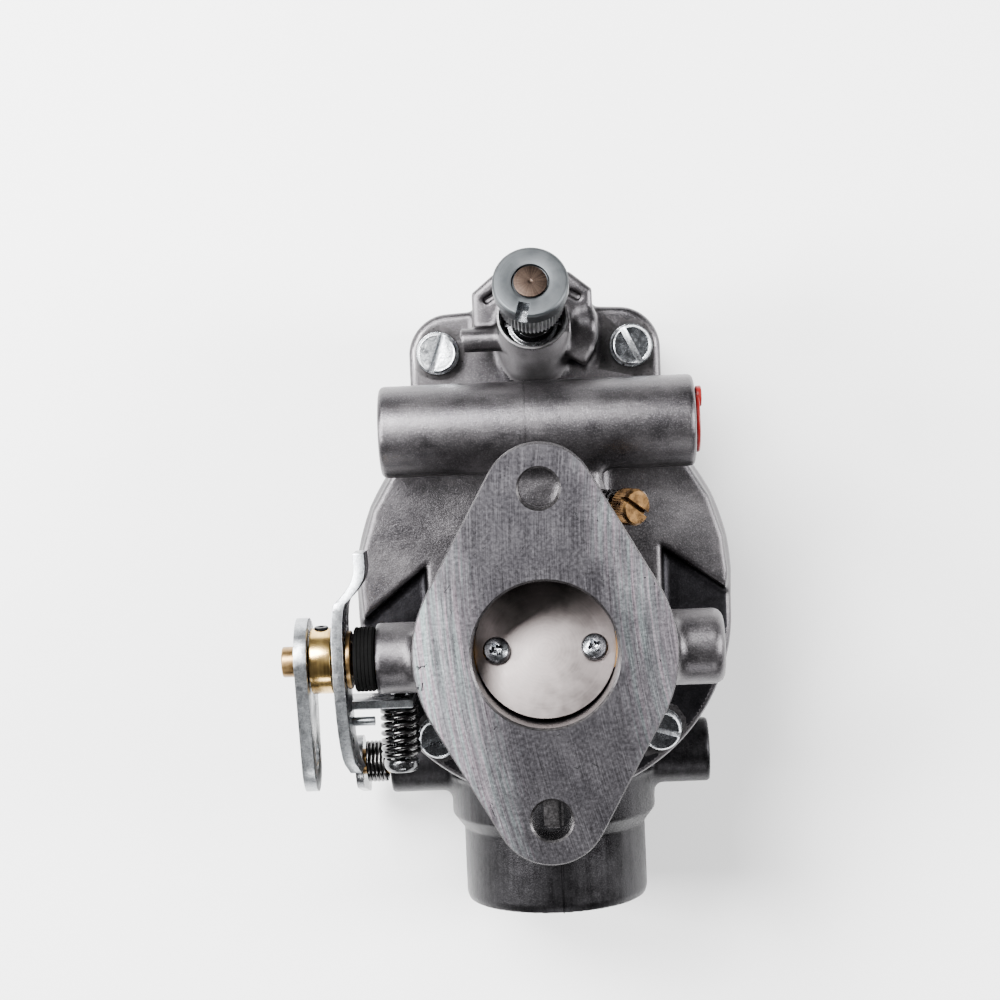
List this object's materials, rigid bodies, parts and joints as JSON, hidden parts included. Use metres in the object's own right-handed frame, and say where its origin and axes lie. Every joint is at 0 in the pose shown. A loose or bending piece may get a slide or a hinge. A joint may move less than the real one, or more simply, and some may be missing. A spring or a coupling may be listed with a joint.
{
  "type": "updraft carburetor",
  "caption": "Updraft carburetor with a diamond manifold flange, throttle and choke plates on levered shafts, float bowl, adjusting needles and a horizontal air inlet.",
  "frame": {"origin": "centre of the throttle bore on the manifold flange face", "axes": "+Z out of the flange face, towards the engine; +X along the throttle shaft, away from its levers; +Y towards the fuel inlet tube, so the air inlet opens towards -Y"},
  "size_m": [0.0978, 0.151, 0.0996],
  "materials": {
    "cast_aluminium": "as cast, milled on the flange face",
    "brass": "turned",
    "zinc_steel": "bright zinc plate",
    "spring_steel": "oiled",
    "bronze": "turned end face",
    "black_rubber": "matte",
    "gasket_fibre": "matte",
    "red_plastic": "moulded",
    "float_plastic": "moulded"
  },
  "bodies": {
    "castings": {"throttle_body": "cast_aluminium", "fuel_bowl": "cast_aluminium", "venturi": "cast_aluminium", "main_jet": "brass", "inlet_valve_seat": "brass", "main_nozzle": "brass", "idle_tube": "brass", "bowl_drain_plug": "brass", "needle_packing_nut": "zinc_steel", "float_hinge_pin": "zinc_steel", "cover_screw_upper_left": "zinc_steel", "cover_screw_upper_right": "zinc_steel", "cover_screw_lower_left": "zinc_steel", "cover_screw_lower_right": "zinc_steel", "lock_washer_upper_left": "zinc_steel", "lock_washer_upper_right": "zinc_steel", "lock_washer_lower_left": "zinc_steel", "lock_washer_lower_right": "zinc_steel", "idle_screw_spring": "spring_steel", "choke_return_spring": "spring_steel", "throttle_shaft_seal": "black_rubber", "needle_packing": "black_rubber", "bowl_gasket": "gasket_fibre"},
    "throttle": {"throttle_shaft": "brass", "throttle_plate": "cast_aluminium", "throttle_plate_screw_left": "zinc_steel", "throttle_plate_screw_right": "zinc_steel", "throttle_stop_lever": "zinc_steel", "throttle_control_lever": "zinc_steel", "lever_hub_collar": "brass", "collar_set_screw": "black_rubber", "lever_washer": "spring_steel", "shaft_seal_retainer": "brass", "throttle_stop_spring": "spring_steel"},
    "stop_screw": {"throttle_stop_screw": "zinc_steel"},
    "idle_screw": {"idle_mixture_screw": "brass"},
    "needle_slider": {"needle_seal_ring": "black_rubber"},
    "main_needle": {"main_adjusting_knob": "zinc_steel", "main_adjusting_needle": "bronze"},
    "choke": {"choke_shaft": "brass", "choke_plate": "cast_aluminium", "choke_plate_screw_left": "zinc_steel", "choke_plate_screw_right": "zinc_steel", "choke_lever": "zinc_steel"},
    "float_assembly": {"float": "float_plastic", "float_arm": "brass"},
    "inlet_valve": {"inlet_needle_valve": "brass"},
    "inlet_cap": {"fuel_inlet_cap": "red_plastic"}
  },
  "joints": [
    {"name": "throttle_turn", "type": "hinge", "parent": "castings", "child": "throttle", "pos_m": [0, -0.0012, -0.015], "axis": [-1, 0, 0], "range_deg": [0, 68]},
    {"name": "stop_screw_turn", "type": "hinge", "parent": "throttle", "child": "stop_screw", "pos_m": [-0.0324, -0.008, -0.027], "axis": [0, -1, 0], "range_deg": [-720, 1440]},
    {"name": "idle_screw_turn", "type": "hinge", "parent": "castings", "child": "idle_screw", "pos_m": [0.0206, 0.0286, -0.0155], "axis": [0.6601, -0.04, 0.7501], "range_deg": [-540, 1080]},
    {"name": "main_needle_advance", "type": "slide", "parent": "castings", "child": "needle_slider", "axis": [0, 0.3681, 0.9298], "range_m": [0, 0.0024]},
    {"name": "main_needle_turn", "type": "hinge", "parent": "needle_slider", "child": "main_needle", "pos_m": [0, 0.0642, -0.042], "axis": [0, 0.3681, 0.9298], "range_deg": [0, 1080]},
    {"name": "choke_turn", "type": "hinge", "parent": "castings", "child": "choke", "pos_m": [0, -0.0335, -0.075], "axis": [-1, 0, 0], "range_deg": [0, 80], "stiffness_Nm_per_rad": 0.02, "springref_deg": -20.05},
    {"name": "float_swing", "type": "hinge", "parent": "castings", "child": "float_assembly", "pos_m": [0, 0.0502, -0.0553], "axis": [-1, 0, 0], "range_deg": [0, 8]},
    {"name": "inlet_valve_lift", "type": "slide", "parent": "castings", "child": "inlet_valve", "axis": [0, 0, 1], "range_m": [0, 0.00125]},
    {"name": "fuel_cap_pull", "type": "slide", "parent": "castings", "child": "inlet_cap", "axis": [1, 0, 0], "range_m": [0, 0.02]}
  ],
  "couplings": [
    {"joint": "inlet_valve_lift", "follows": "float_swing", "m_per_rad": 0.0087},
    {"joint": "main_needle_turn", "follows": "main_needle_advance", "rad_per_m": 7854}
  ]
}
